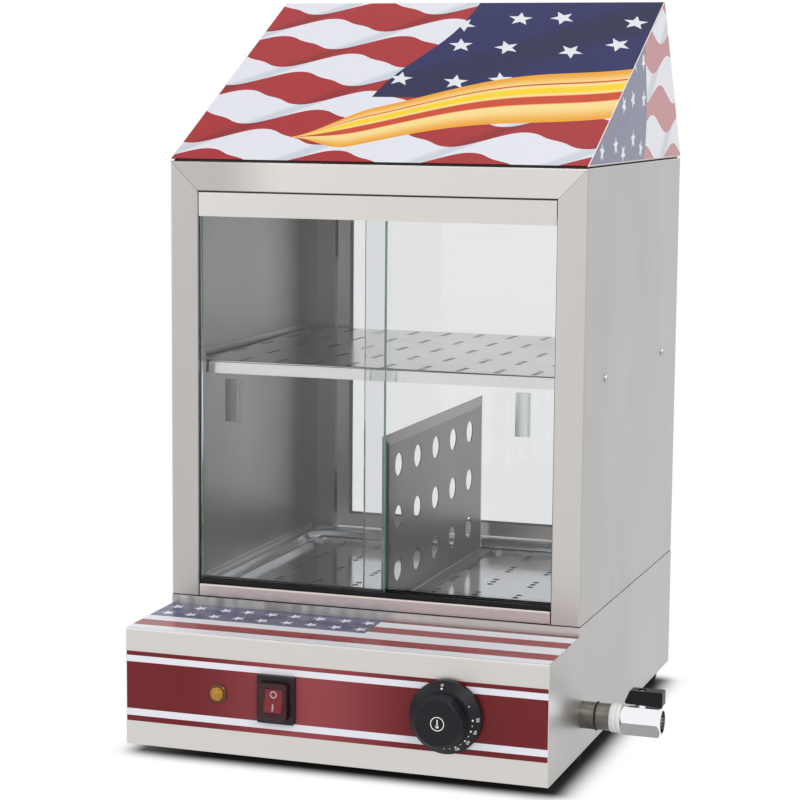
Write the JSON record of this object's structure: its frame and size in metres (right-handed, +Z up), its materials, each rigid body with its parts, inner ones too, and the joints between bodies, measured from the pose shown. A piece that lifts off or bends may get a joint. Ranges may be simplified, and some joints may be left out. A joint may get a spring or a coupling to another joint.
{
  "type": "hot dog steamer",
  "caption": "Counter-top steam cabinet with sliding glass doors, sloped sign header, perforated shelf and tray, control panel and drain tap.",
  "frame": {"origin": "on the counter, under the middle of the base's footprint", "axes": "+X to the right seen from the front, +Y to the back, +Z up"},
  "size_m": [0.4293, 0.4827, 0.6335],
  "materials": {
    "stainless_steel": "brushed stainless steel sheet",
    "clear_glass": "clear float glass with ground edges",
    "black_rubber": "matt moulded rubber",
    "black_plastic": "satin black moulding",
    "red_plastic": "translucent red moulding",
    "amber_plastic": "translucent amber moulding",
    "clear_plastic": "clear soft cover",
    "white_plastic": "natural moulding",
    "printed_film": "printed gloss film",
    "chromed_brass": "polished chrome plate",
    "pipe_steel": "dull turned stainless steel",
    "plated_steel": "zinc plated screws and pins",
    "bare_brass": "turned brass",
    "seal_tape": "wound white sealing tape"
  },
  "bodies": {
    "cabinet": {"base_housing": "stainless_steel", "bottom_cover": "stainless_steel", "underside_screws": "plated_steel", "rubber_feet": "black_rubber", "water_pan": "stainless_steel", "cabinet_floor": "stainless_steel", "left_side_panel": "stainless_steel", "right_side_panel": "stainless_steel", "top_panel": "stainless_steel", "front_sill": "stainless_steel", "door_guides": "black_plastic", "upper_track": "stainless_steel", "middle_shelf": "stainless_steel", "shelf_rails": "stainless_steel", "lower_tray": "stainless_steel", "hinge_fixed_leaves": "stainless_steel", "hinge_pins": "plated_steel", "door_magnet": "white_plastic", "header_shell": "stainless_steel", "header_ends": "stainless_steel", "header_gasket": "black_rubber", "header_bolts": "plated_steel", "header_decal": "printed_film", "header_end_decals": "printed_film", "front_decal": "printed_film", "ledge_decal": "printed_film", "lamp_body": "amber_plastic", "lamp_lens": "amber_plastic", "switch_frame": "black_plastic", "splash_cover": "clear_plastic", "switch_body": "black_plastic", "thermostat_body": "black_plastic", "thermostat_bulb": "bare_brass", "heating_element": "stainless_steel", "element_bushings": "bare_brass", "terminal_block": "black_plastic", "cable_gland": "black_plastic", "drain_pipe": "pipe_steel", "drain_oring": "black_rubber", "drain_nipple": "pipe_steel", "thread_tape": "seal_tape", "valve_body": "chromed_brass", "valve_seats": "white_plastic", "panel_screws": "plated_steel"},
    "left_door": {"left_door_glass": "clear_glass"},
    "right_door": {"right_door_glass": "clear_glass"},
    "sliding_divider": {"divider": "stainless_steel"},
    "rear_door": {"rear_door_frame": "stainless_steel", "rear_door_gasket": "black_rubber", "rear_door_glass": "clear_glass", "rear_door_knob": "black_plastic", "hinge_moving_leaves": "stainless_steel"},
    "power_rocker": {"switch_rocker": "red_plastic"},
    "heat_dial": {"thermostat_knob": "black_plastic", "thermostat_spindle": "plated_steel"},
    "drain_handle": {"valve_lever": "black_plastic", "valve_stem": "bare_brass", "valve_ball": "chromed_brass", "lever_screw": "plated_steel"}
  },
  "joints": [
    {"name": "left_door_slide", "type": "slide", "parent": "cabinet", "child": "left_door", "axis": [1, 0, 0], "range_m": [0, 0.144]},
    {"name": "right_door_slide", "type": "slide", "parent": "cabinet", "child": "right_door", "axis": [-1, 0, 0], "range_m": [0, 0.144]},
    {"name": "divider_slide", "type": "slide", "parent": "cabinet", "child": "sliding_divider", "axis": [1, 0, 0], "range_m": [-0.15, 0.15]},
    {"name": "rear_door_hinge", "type": "hinge", "parent": "cabinet", "child": "rear_door", "pos_m": [-0.15425, 0.2226, 0.3], "axis": [0, 0, 1], "range_deg": [0, 110]},
    {"name": "power_switch", "type": "hinge", "parent": "cabinet", "child": "power_rocker", "pos_m": [-0.0464, -0.2262, 0.0665], "axis": [1, 0, 0], "range_deg": [0, 18]},
    {"name": "heat_dial_turn", "type": "hinge", "parent": "cabinet", "child": "heat_dial", "pos_m": [0.0975, -0.23, 0.0665], "axis": [0, 1, 0], "range_deg": [0, 300]},
    {"name": "drain_valve_turn", "type": "hinge", "parent": "cabinet", "child": "drain_handle", "pos_m": [0.2293, -0.112, 0.06], "axis": [0, 0, 1], "range_deg": [0, 90]}
  ]
}
